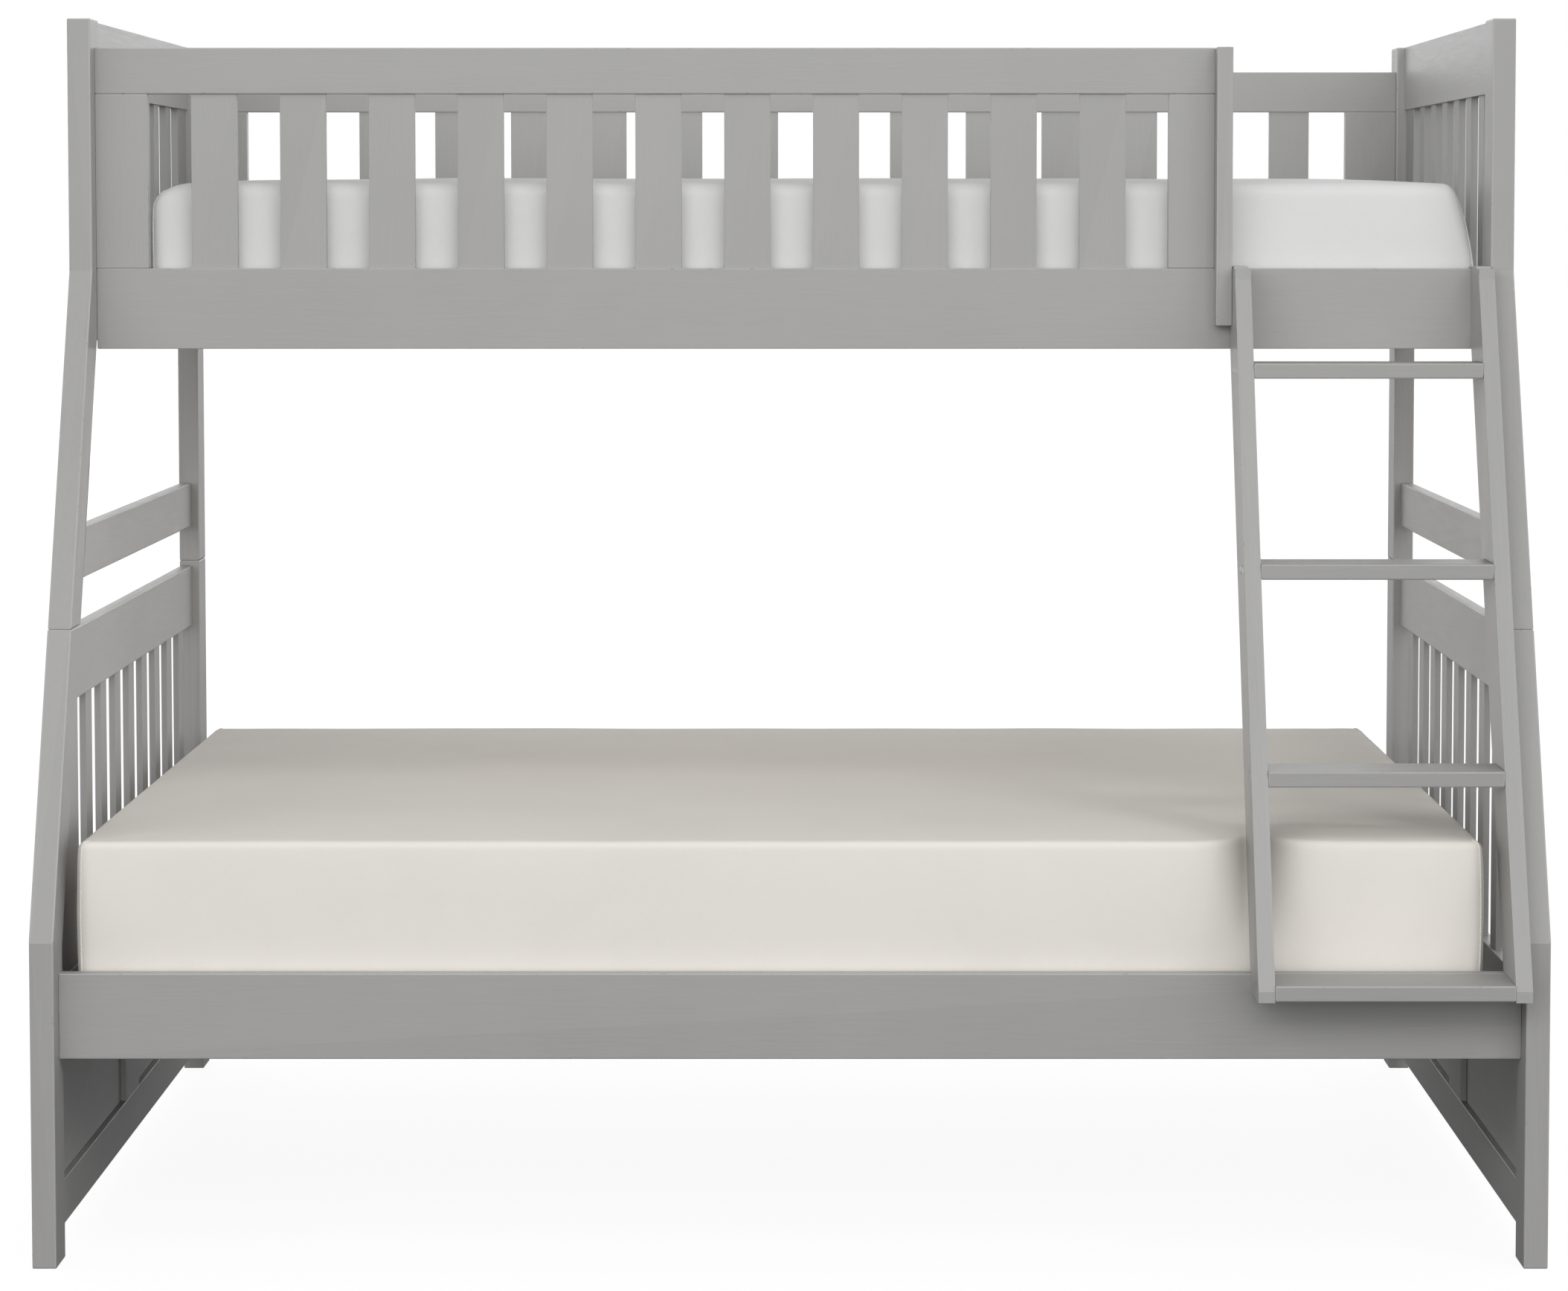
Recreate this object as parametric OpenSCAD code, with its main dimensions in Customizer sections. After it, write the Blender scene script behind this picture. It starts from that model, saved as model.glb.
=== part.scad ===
// Twin-over-full bunk bed with a leaning ladder.
// X runs along the bed, +Y runs from the ladder side to the wall side and +Z is up.
// The origin lies on the floor, under the centre of the whole outline, ladder included.

/* [Overall size] */
// Length over the posts
bed_l = 2000; // [1990:2:2010]
// Depth of the lower bed over its posts
bed_d = 1454; // [1450:1:1470]
// Height of the posts
bed_h = 1660; // [1650:1:1700]

/* [Posts] */
// Width of a post, along the bed
post_w = 32; // [30:1:36]
// Depth of a post, across the bed
post_d = 70; // [66:1:76]
// How far the upper bed's front stands behind the lower bed's
setback = 366; // [340:2:380]
// Height where the front posts start to lean back
low_kink = 433; // [425:1:445]
// Height where the front posts stand upright again
high_kink = 1312; // [1308:1:1320]
// Height of the seam between the lower and upper bunk
seam_z = 832; // [830:1:840]

/* [End panels] */
// Thickness of the end rails
end_t = 18; // [16:1:20]
// How far the end rails' inner face stands in from the posts' outer face
end_inset = 20; // [19:0.5:22]
// Width of an end slat
end_slat_w = 50; // [40:1:60]
// Thickness of a lower end slat
end_slat_t = 9; // [6:0.5:10]
// Thickness of an upper end slat
upper_end_slat_t = 10.5; // [8:0.5:12]
// Pitch of the lower end slats
lower_pitch = 126.5; // [125:0.5:126.5]
// Pitch of the upper end slats
upper_pitch = 124; // [122:0.5:125]
// Width of the centre stile under the lower bed
stile_w = 118; // [100:2:140]

/* [Side rails and guards] */
// Thickness of a side rail
rail_t = 22; // [20:1:24]
// How far the side rails stand behind the posts' faces
rail_inset = 36; // [30:1:40]
// Underside of the lower side rails
lower_rail_z = 273; // [265:1:280]
// Top of the lower side rails
lower_rail_top = 387; // [380:1:387]
// Underside of the upper side rails
upper_rail_z = 1203; // [1200:1:1206]
// Top of the upper side rails
upper_rail_top = 1315; // [1310:1:1320]
// Underside of the guards' top rails
guard_z = 1557; // [1540:1:1570]
// Height of a guard's top rail
guard_h = 64; // [50:1:70]
// Thickness of the guard rails
guard_t = 20; // [18:1:21]
// Width of a guard slat
guard_slat_w = 64; // [50:1:70]
// Number of slats in the front guard
front_slats = 11; // [9:1:12]
// Number of slats in the rear guard
rear_slats = 14; // [12:1:15]

/* [Ladder] */
// Left edge of the ladder opening in the front guard
opening_x = 610; // [590:2:630]
// Thickness of a ladder side
string_t = 22; // [20:1:24]
// Level depth of a ladder side
string_d = 108; // [100:1:110]
// How far the ladder stands in front of the leaning posts
ladder_proud = 35.5; // [34:0.5:40]
// Depth of a tread
tread_d = 94; // [80:1:94]
// Thickness of a tread
tread_t = 21; // [18:1:24]
// Top of the lowest tread
first_tread = 387; // [387:1:390]
// Rise from one tread to the next
tread_rise = 266.6; // [260:0.2:267]

/* [Mattresses] */
// Length of the lower mattress
lower_mattress_l = 1880; // [1860:5:1890]
// Length of the upper mattress
upper_mattress_l = 1868; // [1850:2:1870]
// Height of the lower mattress
lower_mattress_h = 229; // [200:1:230]
// Height of the upper mattress
upper_mattress_h = 184; // [150:1:190]

/* [Hidden] */
$fn = 32;

grey = "#a8a8a6";
end_grey = "#979797";
ladder_grey = "#b0b0ae";
pine = "#d9c39a";
steel = "#b9bcc0";
white = "#dcdcda";

// Clearance round the tenons, grooves and pins
play = 0.25;
// Gap between the ladder and what it stands against
ladder_play = 0.3;
// How far slats and panels enter the rails that hold them
housing = 10;
// Length and thickness of the end rails' tenons, and the shoulder above and below them
tenon_l = 22;
tenon_t = 8;
shoulder = 12;

// The leaning part of the front posts
lean = setback / (high_kink - low_kink);
kink_drop = post_d * tan(atan(lean) / 2);
tread_nose = 5;
ladder_reach = ladder_proud + tread_nose + lean * (low_kink - first_tread);
front_face = ladder_reach - (bed_d + ladder_reach) / 2;
rear_face = front_face + bed_d;
rear_post_y = rear_face - post_d;
post_x = bed_l / 2 - post_w;
end_x = bed_l / 2 - end_inset;
upper_face = front_face + setback;

// Heights and places in the end panels
foot_h = 30;
bottom_rail_top = 90;
mid_rail_z = 262;
mid_rail_top = 362;
lower_top_z = seam_z - 105;
lower_top_top = seam_z - 8;
brace_z = 888;
brace_top = 958;
upper_low_z = 1213;
upper_low_top = 1305;
upper_top_z = bed_h - 100;
panel_t = 7;
panel_inset = 2;
corner_t = 12;
// First gap between end slats, measured from the front face of each bunk
lower_gap_y = 335;
upper_gap_y = 147;
lower_gap_count = 9;
upper_gap_count = 7;

// Side rails, guards and what lies on them
lower_rail_y = front_face + rail_inset;
upper_rail_y = upper_face + rail_inset;
rear_rail_y = rear_face - rail_inset - rail_t;
ledger_d = 20;
ledger_h = 28;
lower_ledger_z = 292;
upper_ledger_z = 1212;
bed_slat_w = 70;
lower_slat_t = 18;
upper_slat_t = 16;
bed_slat_count = 13;
bed_slat_gap = 1;
guard_top = guard_z + guard_h;
guard_slat_t = 12;
stile_x = 73;
rear_stile_x = 81;
end_post_w = 22;
end_post_z = 1236;
end_post_x = opening_x - end_post_w;
right_stile_x = end_post_x - guard_slat_w;

// Fixings
bolt_r = 4;
bolt_head_r = 7;
bolt_head_h = 8;
socket_r = 3;
socket_depth = 4;
bolt_hole_r = 4.3;
bolt_sink = 10;
bolt_l = 90;
nut_r = 6;
nut_l = 16;
nut_inset = 50;
lower_bolts = [305, 355];
upper_bolts = [1268, 1292];
guard_bolt_r = 3;
guard_bolt_l = 60;
guard_bolts_z = [1400, 1490];
pin_r = 6;
pin_l = 50;
screw_r = 2.4;
screw_head_r = 4.6;
screw_l = 50;
screw_edge = 28;

// Ladder: four treads between two sides that lean with the front posts
ladder_x = opening_x + ladder_play;
ladder_right = post_x - ladder_play;
tread_count = 4;
tread_house = 8;
tread_stop = 12;
foot_z = first_tread - tread_t - 2;
foot_nose = 15;
top_nose = 14;
hook_w = 20;
hook_t = 3;
hook_lip = 30;

// Mattresses
lower_mattress_x = -13;
upper_mattress_x = 30;
mattress_corner_r = 60;
mattress_gap = 3;
lower_mattress_z = lower_ledger_z + ledger_h + lower_slat_t;
upper_mattress_z = upper_ledger_z + ledger_h + upper_slat_t;

// ---- Lines that the front posts and the ladder follow ----

function clamp(v, low, high) = min(max(v, low), high);
function front_y(z) = front_face + lean * (clamp(z, low_kink, high_kink) - low_kink);
function back_y(z) = post_d + front_face
    + lean * (clamp(z, low_kink - kink_drop, high_kink - kink_drop) - low_kink + kink_drop);
function ladder_y(z) = front_face - ladder_proud + lean * (z - low_kink);
function ladder_back_y(z) = ladder_y(z) + string_d;
function tread_top(i) = first_tread + i * tread_rise;

// The heights from z0 to z1, with the kinks that lie between them
function levels(z0, z1, drop) = concat(
    [z0],
    [for (k = [low_kink - drop, high_kink - drop]) if (k > z0 + 0.01 && k < z1 - 0.01) k],
    [z1]);
function reversed(list) = [for (i = [len(list) - 1 : -1 : 0]) list[i]];

// ---- General modules ----

// Draws a (Y, Z) outline as a board of thickness t, from x upwards along X
module board(x, t) {
    translate([x, 0, 0]) rotate([90, 0, 90]) linear_extrude(t) children();
}

// A box between two corners
module box(low, high) {
    translate(low) cube(high - low);
}

// Everything at the ends is drawn on the right; side -1 mirrors it to the left
module at_side(side) {
    mirror([side < 0 ? 1 : 0, 0, 0]) children();
}

// A round hole or bar along X, from x downwards
module bar_x(x, y, z, r, l) {
    translate([x - l, y, z]) rotate([0, 90, 0]) cylinder(r = r, h = l);
}

// ---- End rails: a board between the front and rear post with a tenon at each end ----

module rail_outline(z0, z1, reach) {
    front = [for (z = levels(z0, z1, kink_drop)) [back_y(z) - reach, z]];
    polygon(concat([[rear_post_y + reach, z0]], front, [[rear_post_y + reach, z1]]));
}

module rail_tenons(z0, z1, gap = 0) {
    board(end_x + (end_t - tenon_t) / 2 - gap, tenon_t + 2 * gap)
        rail_outline(z0 + shoulder - gap, z1 - shoulder + gap, tenon_l + gap);
}

module end_rail(z0, z1) {
    union() {
        board(end_x, end_t) rail_outline(z0, z1, 0);
        rail_tenons(z0, z1);
    }
}

// ---- End slats, corner boards and panels; gap widens them to their grooves ----

module lower_slat_bars(gap = 0) {
    x = end_x + (end_t - end_slat_t) / 2;
    for (i = [1 : lower_gap_count - 1]) {
        y = front_face + lower_gap_y + lower_pitch * (i - 0.5) - end_slat_w / 2;
        box([x - gap, y - gap, mid_rail_top - housing - gap],
            [x + end_slat_t + gap, y + end_slat_w + gap, lower_top_z + housing + gap]);
    }
}

module corner_board_shape(gap = 0) {
    z0 = mid_rail_top - housing - gap;
    z1 = lower_top_z + housing + gap;
    back = front_face + lower_gap_y - (lower_pitch - end_slat_w) / 2 + gap;
    front = [for (z = levels(z0, z1, kink_drop)) [back_y(z), z]];
    board(end_x + (end_t - corner_t) / 2 - gap, corner_t + 2 * gap)
        polygon(concat([[back, z0]], front, [[back, z1]]));
}

module upper_slat_bars(gap = 0) {
    x = end_x + (end_t - upper_end_slat_t) / 2;
    half_gap = (upper_pitch - end_slat_w) / 2;
    first = upper_face + upper_gap_y;
    last = first + upper_pitch * (upper_gap_count - 1);
    edges = concat(
        [[upper_face + post_d, first - half_gap]],
        [for (i = [1 : upper_gap_count - 1])
            [first + upper_pitch * (i - 1) + half_gap, first + upper_pitch * i - half_gap]],
        [[last + half_gap, rear_post_y]]);
    for (e = edges)
        box([x - gap, e[0] - gap, upper_low_top - housing - gap],
            [x + upper_end_slat_t + gap, e[1] + gap, upper_top_z + housing + gap]);
}

module panel_boards(gap = 0) {
    x = end_x + end_t - panel_t - panel_inset;
    stile_y = (front_face + rear_face) / 2 - stile_w / 2;
    spans = [
        [front_face + post_d - housing, stile_y + housing],
        [stile_y + stile_w - housing, rear_post_y + housing]];
    for (s = spans)
        box([x - gap, s[0] - gap, bottom_rail_top - housing - gap],
            [x + panel_t + gap, s[1] + gap, mid_rail_z + housing + gap]);
}

// ---- Posts ----

module post_outline(z0, z1) {
    front = [for (z = levels(z0, z1, 0)) [front_y(z), z]];
    back = [for (z = levels(z0, z1, kink_drop)) [back_y(z), z]];
    polygon(concat(front, reversed(back)));
}

module bolt_holes(y, heights) {
    for (z = heights) {
        bar_x(bed_l / 2 + 1, y, z, bolt_hole_r, post_w + 2);
        bar_x(bed_l / 2 + 1, y, z, bolt_head_r + play, bolt_sink + 1);
    }
}

// The side rails' bolts pass through the posts and the end rails' tenons in them
module lower_bolt_holes() {
    bolt_holes(lower_rail_y + rail_t / 2, lower_bolts);
    bolt_holes(rear_rail_y + rail_t / 2, lower_bolts);
}

module upper_bolt_holes() {
    bolt_holes(upper_rail_y + rail_t / 2, upper_bolts);
    bolt_holes(rear_rail_y + rail_t / 2, upper_bolts);
}

module guard_bolt_holes(y) {
    for (z = guard_bolts_z) {
        bar_x(bed_l / 2 + 1, y, z, guard_bolt_r + play, post_w + 2);
        bar_x(bed_l / 2 + 1, y, z, 2 * guard_bolt_r + play, bolt_sink + 1);
    }
}

module pin_at(y, r, l) {
    translate([bed_l / 2 - post_w / 2, y, seam_z - l / 2]) cylinder(r = r, h = l);
}

// The front pins stand forward of the top rails' tenons
front_pin_y = (front_y(seam_z) + back_y(seam_z)) / 2 - 10;
rear_pin_y = rear_face - post_d / 2;

module lower_joints() {
    rail_tenons(foot_h, bottom_rail_top, play);
    rail_tenons(mid_rail_z, mid_rail_top, play);
    rail_tenons(lower_top_z, lower_top_top, play);
    panel_boards(play);
    pin_at(front_pin_y, pin_r + play, pin_l + 2);
    pin_at(rear_pin_y, pin_r + play, pin_l + 2);
    lower_bolt_holes();
}

module upper_joints() {
    rail_tenons(brace_z, brace_top, play);
    rail_tenons(upper_low_z, upper_low_top, play);
    rail_tenons(upper_top_z, bed_h, play);
    pin_at(front_pin_y, pin_r + play, pin_l + 2);
    pin_at(rear_pin_y, pin_r + play, pin_l + 2);
    upper_bolt_holes();
}

module lower_front_leg(side) {
    color(grey) at_side(side) difference() {
        board(post_x, post_w) post_outline(0, seam_z);
        lower_joints();
    }
}

module lower_rear_leg(side) {
    color(grey) at_side(side) difference() {
        box([post_x, rear_post_y, 0], [bed_l / 2, rear_face, seam_z]);
        lower_joints();
    }
}

module upper_front_post(side) {
    color(grey) at_side(side) difference() {
        board(post_x, post_w) post_outline(seam_z, bed_h);
        upper_joints();
        if (side < 0)
            guard_bolt_holes(upper_rail_y + guard_t / 2);
    }
}

module upper_rear_post(side) {
    color(grey) at_side(side) difference() {
        box([post_x, rear_post_y, seam_z], [bed_l / 2, rear_face, bed_h]);
        upper_joints();
        guard_bolt_holes(rear_rail_y + rail_t - guard_t / 2);
    }
}

// ---- Lower ends ----

module lower_end_top_rail(side) {
    color(end_grey) at_side(side) difference() {
        end_rail(lower_top_z, lower_top_top);
        lower_slat_bars(play);
        corner_board_shape(play);
    }
}

module lower_end_mid_rail(side) {
    color(end_grey) at_side(side) difference() {
        end_rail(mid_rail_z, mid_rail_top);
        lower_slat_bars(play);
        corner_board_shape(play);
        panel_boards(play);
        stile_shape(play);
        lower_bolt_holes();
    }
}

module lower_end_bottom_rail(side) {
    color(end_grey) at_side(side) difference() {
        end_rail(foot_h, bottom_rail_top);
        panel_boards(play);
        stile_shape(play);
    }
}

module lower_end_slats(side) {
    color(end_grey) at_side(side) lower_slat_bars();
}

module lower_end_corner_board(side) {
    color(end_grey) at_side(side) corner_board_shape();
}

// The stile's tongue enters the rails above and below it
module stile_shape(gap = 0) {
    y = (front_face + rear_face) / 2 - stile_w / 2;
    x = end_x + (end_t - tenon_t) / 2;
    union() {
        box([x - gap, y + shoulder - gap, bottom_rail_top - housing - gap],
            [x + tenon_t + gap, y + stile_w - shoulder + gap, mid_rail_z + housing + gap]);
        if (gap == 0)
            box([end_x, y, bottom_rail_top], [end_x + end_t, y + stile_w, mid_rail_z]);
    }
}

module lower_end_stile(side) {
    color(end_grey) at_side(side) difference() {
        stile_shape();
        panel_boards(play);
    }
}

module lower_end_panels(side) {
    color(end_grey) at_side(side) panel_boards();
}

// ---- Upper ends ----

module upper_end_top_rail(side) {
    color(end_grey) at_side(side) difference() {
        end_rail(upper_top_z, bed_h);
        upper_slat_bars(play);
    }
}

module upper_end_low_rail(side) {
    color(end_grey) at_side(side) difference() {
        end_rail(upper_low_z, upper_low_top);
        upper_slat_bars(play);
        upper_bolt_holes();
    }
}

module upper_end_slats(side) {
    color(end_grey) at_side(side) upper_slat_bars();
}

module brace_rail(side) {
    color(end_grey) at_side(side) end_rail(brace_z, brace_top);
}

// ---- Side rails, each bolted to a post at both ends ----

// The barrel nuts go in from the bed's inside; facing is 1 on the front rails and -1 on the rear
module side_rail_body(y, z0, z1, bolts, facing) {
    inner = facing > 0 ? y + rail_t : y;
    difference() {
        box([-post_x, y, z0], [post_x, y + rail_t, z1]);
        for (side = [-1, 1], z = bolts)
            at_side(side) {
                bar_x(post_x + 1, y + rail_t / 2, z, bolt_hole_r, bolt_l - post_w + bolt_sink + 3);
                translate([post_x - nut_inset, inner + facing, z]) rotate([facing * 90, 0, 0])
                    cylinder(r = nut_r + play, h = (rail_t + nut_l) / 2 + play + 1);
            }
    }
}

module lower_front_rail() {
    color(grey) side_rail_body(lower_rail_y, lower_rail_z, lower_rail_top, lower_bolts, 1);
}

module lower_rear_rail() {
    color(grey) side_rail_body(rear_rail_y, lower_rail_z, lower_rail_top, lower_bolts, -1);
}

module upper_front_rail() {
    color(grey) difference() {
        side_rail_body(upper_rail_y, upper_rail_z, upper_rail_top, upper_bolts, 1);
        front_guard_bars(play);
        guard_stile_tongues(play);
    }
}

module upper_rear_rail() {
    color(grey) difference() {
        side_rail_body(rear_rail_y, upper_rail_z, upper_rail_top, upper_bolts, -1);
        rear_guard_bars(play);
        rear_stile_tongues(play);
    }
}

// ---- What carries the mattresses ----

module slat_ledgers() {
    reach = post_x - 2 * nut_inset;
    color(pine) for (pair = [[lower_rail_y, lower_ledger_z], [upper_rail_y, upper_ledger_z]]) {
        box([-reach, pair[0] + rail_t, pair[1]], [reach, pair[0] + rail_t + ledger_d, pair[1] + ledger_h]);
        box([-reach, rear_rail_y - ledger_d, pair[1]], [reach, rear_rail_y, pair[1] + ledger_h]);
    }
}

module bed_slats(rail_y, z, t) {
    span = 2 * (post_x - 2 * nut_inset) - bed_slat_w;
    color(pine) for (i = [0 : bed_slat_count - 1]) {
        x = -span / 2 + i * span / (bed_slat_count - 1);
        box([x - bed_slat_w / 2, rail_y + rail_t + bed_slat_gap, z],
            [x + bed_slat_w / 2, rear_rail_y - bed_slat_gap, z + t]);
    }
}

module lower_bed_slats() {
    bed_slats(lower_rail_y, lower_ledger_z + ledger_h, lower_slat_t);
}

module upper_bed_slats() {
    bed_slats(upper_rail_y, upper_ledger_z + ledger_h, upper_slat_t);
}

// ---- Guards ----

// A row of upright slats that fills x0 to x1 with even gaps
module guard_bars(x0, x1, count, y, gap) {
    space = (x1 - x0 - count * guard_slat_w) / (count + 1);
    for (i = [0 : count - 1]) {
        x = x0 + space + i * (guard_slat_w + space);
        box([x - gap, y - gap, upper_rail_top - housing - gap],
            [x + guard_slat_w + gap, y + guard_slat_t + gap, guard_z + housing + gap]);
    }
}

module front_guard_bars(gap = 0) {
    y = upper_rail_y + (guard_t - guard_slat_t) / 2;
    guard_bars(-post_x + stile_x, right_stile_x, front_slats, y, gap);
}

module rear_guard_bars(gap = 0) {
    y = rear_rail_y + rail_t - (guard_t + guard_slat_t) / 2;
    guard_bars(-post_x + rear_stile_x, post_x - rear_stile_x, rear_slats, y, gap);
}

// Tongue of a guard stile, which enters the rails above and below it
module stile_tongue(x, w, y, gap) {
    box([x + shoulder - gap, y + (guard_t - tenon_t) / 2 - gap, upper_rail_top - housing - gap],
        [x + w - shoulder + gap, y + (guard_t + tenon_t) / 2 + gap, guard_z + housing + gap]);
}

module guard_stile_tongues(gap) {
    stile_tongue(-post_x, stile_x, upper_rail_y, gap);
    stile_tongue(right_stile_x, guard_slat_w, upper_rail_y, gap);
}

module rear_stile_tongues(gap) {
    stile_tongue(-post_x, rear_stile_x, rear_rail_y + rail_t - guard_t, gap);
    stile_tongue(post_x - rear_stile_x, rear_stile_x, rear_rail_y + rail_t - guard_t, gap);
}

module guard_stile(x, w, y) {
    box([x, y, upper_rail_top], [x + w, y + guard_t, guard_z]);
    stile_tongue(x, w, y, 0);
}

module front_guard_rail() {
    color(grey) difference() {
        box([-post_x, upper_rail_y, guard_z], [end_post_x, upper_rail_y + guard_t, guard_top]);
        front_guard_bars(play);
        guard_stile_tongues(play);
    }
}

module front_guard_slats() {
    color(grey) front_guard_bars();
}

// Long screws hold the guard's stiles to the posts beside them
module guard_screw_hole(side, x, y) {
    for (z = guard_bolts_z)
        at_side(side) bar_x(x + 1, y, z, guard_bolt_r + play, guard_bolt_l + 3);
}

module front_guard_stile_left() {
    color(grey) difference() {
        guard_stile(-post_x, stile_x, upper_rail_y);
        guard_screw_hole(-1, post_x, upper_rail_y + guard_t / 2);
    }
}

module front_guard_stile_right() {
    color(grey) difference() {
        guard_stile(right_stile_x, guard_slat_w, upper_rail_y);
        guard_screw_hole(1, end_post_x, upper_rail_y + guard_t / 2);
    }
}

// Stands proud of the guard and laps over the front of the upper side rail
module front_guard_end_post() {
    color(grey) difference() {
        union() {
            box([end_post_x, upper_face, end_post_z], [opening_x, upper_rail_y, guard_top]);
            box([end_post_x, upper_face, upper_rail_top], [opening_x, upper_rail_y + guard_t, guard_top]);
        }
        for (z = guard_bolts_z) {
            bar_x(opening_x + 1, upper_rail_y + guard_t / 2, z, guard_bolt_r + play, end_post_w + 2);
            bar_x(opening_x + 1, upper_rail_y + guard_t / 2, z, 2 * guard_bolt_r + play, bolt_sink + 1);
        }
    }
}

module rear_guard_rail() {
    y = rear_rail_y + rail_t - guard_t;
    color(grey) difference() {
        box([-post_x, y, guard_z], [post_x, y + guard_t, guard_top]);
        rear_guard_bars(play);
        rear_stile_tongues(play);
    }
}

module rear_guard_slats() {
    color(grey) rear_guard_bars();
}

module rear_guard_stiles() {
    y = rear_rail_y + rail_t - guard_t;
    color(grey) difference() {
        union() {
            guard_stile(-post_x, rear_stile_x, y);
            guard_stile(post_x - rear_stile_x, rear_stile_x, y);
        }
        guard_screw_hole(-1, post_x, y + guard_t / 2);
        guard_screw_hole(1, post_x, y + guard_t / 2);
    }
}

// ---- Ladder ----

// The side leans with the posts, sits on the lower side rail and is cut plumb against the upper one
module ladder_side_outline() {
    rest_z = lower_rail_top + ladder_play;
    low_rest = lower_rail_y - ladder_play;
    high_rest = upper_rail_y - ladder_play;
    meet_z = low_kink + (high_rest - string_d + ladder_proud - front_face) / lean;
    top_z = upper_rail_top;
    polygon([
        [ladder_y(foot_z + foot_nose), foot_z],
        [ladder_y(foot_z + foot_nose), foot_z + foot_nose],
        [ladder_y(top_z - top_nose), top_z - top_nose],
        [ladder_y(top_z - top_nose), top_z],
        [high_rest, top_z],
        [high_rest, meet_z],
        [ladder_back_y(rest_z), rest_z],
        [low_rest, rest_z],
        [low_rest, foot_z]]);
}

// A tread fits between the sides; behind its nose both ends are let into them
module tread_shape(i, gap = 0) {
    y = ladder_y(tread_top(i)) - tread_nose;
    z = tread_top(i) - tread_t;
    inset = string_t - tread_house;
    union() {
        box([ladder_x + inset - gap, y + tread_stop - gap, z - gap],
            [ladder_right - inset + gap, y + tread_d + gap, tread_top(i) + gap]);
        if (gap == 0)
            box([ladder_x + string_t, y, z], [ladder_right - string_t, y + tread_d, tread_top(i)]);
    }
}

// Calls its children at each of the screws on the right of tread i; the left is a mirror image
module at_tread_screws(i) {
    y = ladder_y(tread_top(i)) - tread_nose;
    for (step = [screw_edge, tread_d - screw_edge])
        translate([0, y + step, tread_top(i) - tread_t / 2]) rotate([0, 90, 0]) children();
}

module screw_shape(r, head_r, l) {
    cylinder(r = r, h = l);
    cylinder(r1 = head_r, r2 = r, h = head_r - r);
}

// The screws run inwards from both sides' outer faces
module ladder_screw_set(gap = 0) {
    for (i = [0 : tread_count - 1])
        at_tread_screws(i) {
            translate([0, 0, ladder_x]) screw_shape(screw_r + gap, screw_head_r + gap, screw_l + gap);
            translate([0, 0, ladder_right]) mirror([0, 0, 1])
                screw_shape(screw_r + gap, screw_head_r + gap, screw_l + gap);
        }
}

module ladder_side(x) {
    color(ladder_grey) difference() {
        board(x, string_t) ladder_side_outline();
        for (i = [0 : tread_count - 1])
            tread_shape(i, play);
        ladder_screw_set(play);
        ladder_hook_straps(play);
    }
}

module ladder_tread(i) {
    color(ladder_grey) difference() {
        tread_shape(i);
        ladder_screw_set(play);
    }
}

module ladder_screws() {
    color(steel) ladder_screw_set();
}

// A steel strap let into the top of each side, bent down behind the upper side rail
module ladder_hook_straps(gap = 0) {
    strap_l = 45;
    back = upper_rail_y + rail_t + ladder_play + hook_t;
    z = upper_rail_top + ladder_play;
    for (x = [ladder_x + (string_t - hook_w) / 2, ladder_right - (string_t + hook_w) / 2]) {
        box([x - gap, upper_rail_y - strap_l - gap, z - hook_t - ladder_play - gap],
            [x + hook_w + gap, upper_rail_y - ladder_play, z + gap]);
        if (gap == 0) {
            box([x, upper_rail_y - strap_l, z], [x + hook_w, back, z + hook_t]);
            box([x, back - hook_t, z + hook_t - hook_lip], [x + hook_w, back, z + hook_t]);
        }
    }
}

module ladder_hooks() {
    color(ladder_grey) ladder_hook_straps();
}

// ---- Fixings ----

module bolt_at(y, z) {
    head_x = bed_l / 2 - bolt_sink + bolt_head_h;
    color(steel) difference() {
        union() {
            bar_x(head_x, y, z, bolt_head_r, bolt_head_h);
            bar_x(head_x - 1, y, z, bolt_r, bolt_l);
        }
        translate([head_x - socket_depth, y, z]) rotate([0, 90, 0])
            cylinder(r = socket_r, h = socket_depth + 1, $fn = 6);
    }
}

module rail_bolts() {
    for (side = [-1, 1])
        at_side(side) {
            for (y = [lower_rail_y, rear_rail_y], z = lower_bolts)
                bolt_at(y + rail_t / 2, z);
            for (y = [upper_rail_y, rear_rail_y], z = upper_bolts)
                bolt_at(y + rail_t / 2, z);
        }
}

module nut_at(y, z) {
    color(steel) difference() {
        translate([post_x - nut_inset, y - nut_l / 2, z]) rotate([-90, 0, 0])
            cylinder(r = nut_r, h = nut_l);
        bar_x(post_x, y, z, bolt_r + play, 2 * nut_inset);
    }
}

module barrel_nuts() {
    for (side = [-1, 1])
        at_side(side) {
            for (z = lower_bolts) {
                nut_at(lower_rail_y + rail_t / 2, z);
                nut_at(rear_rail_y + rail_t / 2, z);
            }
            for (z = upper_bolts) {
                nut_at(upper_rail_y + rail_t / 2, z);
                nut_at(rear_rail_y + rail_t / 2, z);
            }
        }
}

module guard_bolt_at(x, y, z) {
    head_x = x - bolt_sink + bolt_head_h;
    bar_x(head_x, y, z, 2 * guard_bolt_r, bolt_head_h - 2);
    bar_x(head_x - 1, y, z, guard_bolt_r, guard_bolt_l);
}

module guard_bolts() {
    rear_y = rear_rail_y + rail_t - guard_t / 2;
    front_y = upper_rail_y + guard_t / 2;
    color(steel) for (z = guard_bolts_z) {
        at_side(-1) guard_bolt_at(bed_l / 2, front_y, z);
        at_side(-1) guard_bolt_at(bed_l / 2, rear_y, z);
        guard_bolt_at(bed_l / 2, rear_y, z);
        guard_bolt_at(opening_x, front_y, z);
    }
}

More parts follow.
